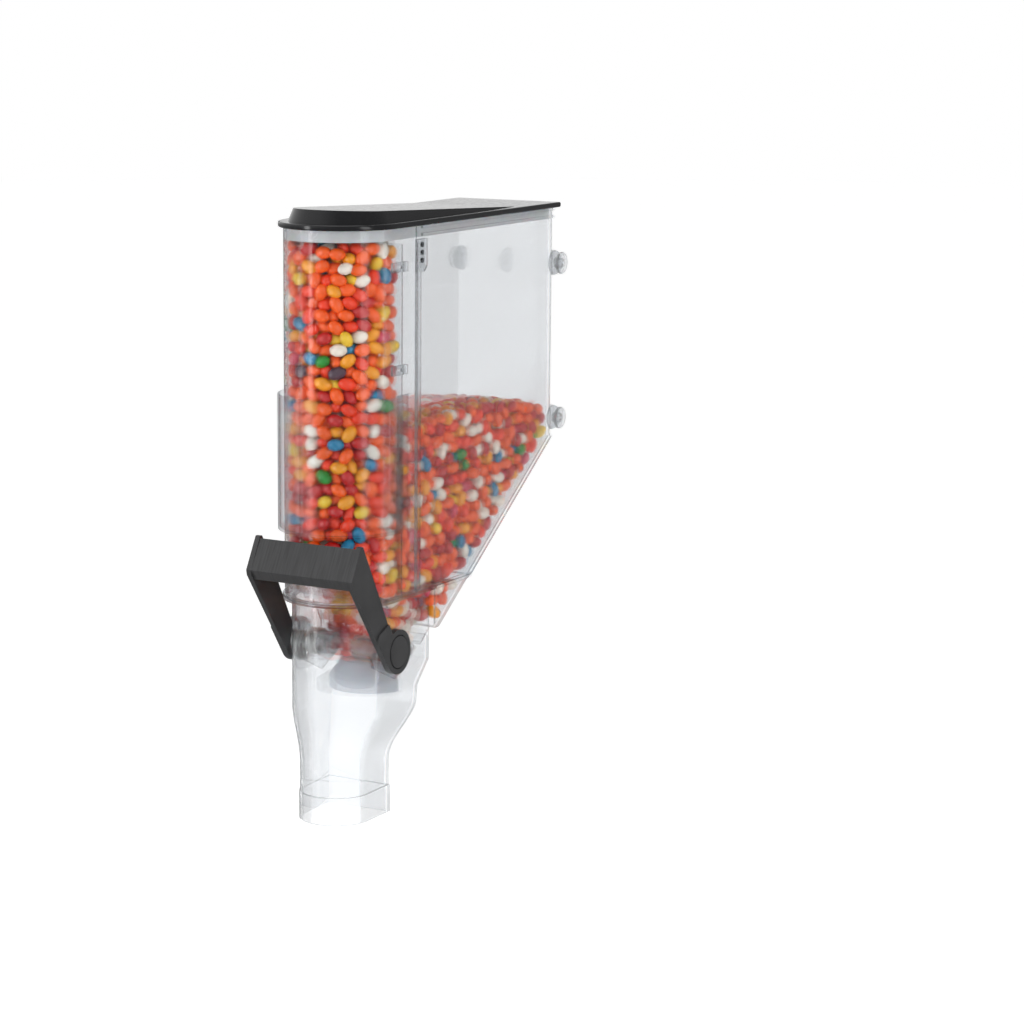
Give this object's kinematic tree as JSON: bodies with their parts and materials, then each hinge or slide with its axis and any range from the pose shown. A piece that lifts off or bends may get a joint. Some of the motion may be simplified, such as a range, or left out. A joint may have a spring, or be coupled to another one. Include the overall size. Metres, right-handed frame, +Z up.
{
  "type": "gravity bulk food dispenser",
  "caption": "Wall-hung gravity dispenser for dry food: clear round-front hopper with lift-off black lid, frosted gate above a clear spout, and a black pull lever that springs back.",
  "frame": {"origin": "midway between the four hanging studs, on the line of their axes at the back of the hopper", "axes": "+Z up; +X across the width, along the studs' axes, to the right when facing the round front from behind it; -Y towards the user, so the round front faces -Y"},
  "size_m": [0.1282, 0.3975, 0.5705],
  "materials": {
    "clear_plastic": "polished clear moulded plastic",
    "frosted_plastic": "frosted moulded plastic",
    "black_plastic": "fine satin grain",
    "milky_seal": "soft translucent satin",
    "white_acetal": "machined satin",
    "stainless_steel": "drawn wire"
  },
  "bodies": {
    "hopper": {"chute_housing": "clear_plastic", "divider_panel": "clear_plastic", "front_baffle": "clear_plastic", "front_window": "clear_plastic", "hopper_deck": "clear_plastic", "label_clips": "clear_plastic", "label_holder": "clear_plastic", "lower_funnel": "clear_plastic", "outlet_ramp": "clear_plastic", "pivot_bush_left": "white_acetal", "pivot_bush_right": "white_acetal", "rear_bin": "clear_plastic", "return_spring": "stainless_steel", "seam_rail_left": "clear_plastic", "seam_rail_right": "clear_plastic", "spout_collar": "clear_plastic", "stud_lower_left": "clear_plastic", "stud_lower_right": "clear_plastic", "stud_upper_left": "clear_plastic", "stud_upper_right": "clear_plastic", "tab_rivets_left": "clear_plastic", "tab_rivets_right": "clear_plastic"},
    "lid": {"lid": "black_plastic", "lid_seal": "milky_seal"},
    "lever": {"lever_handle": "black_plastic", "hub_cap_left": "black_plastic", "hub_cap_right": "black_plastic", "handle_screw_left": "stainless_steel", "handle_screw_right": "stainless_steel", "gate_shaft": "clear_plastic", "gate_yoke_left": "clear_plastic", "gate_yoke_right": "clear_plastic", "gate_bowl": "frosted_plastic"}
  },
  "joints": [
    {"name": "lever_pivot", "type": "hinge", "parent": "hopper", "child": "lever", "pos_m": [0, -0.305, -0.2585], "axis": [1, 0, 0], "range_deg": [0, 45], "stiffness_Nm_per_rad": 0.35, "springref_deg": -34.38, "deforming": ["return_spring"]},
    {"name": "lid_lift", "type": "slide", "parent": "hopper", "child": "lid", "axis": [0, 0, 1], "range_m": [0, 0.03]}
  ]
}
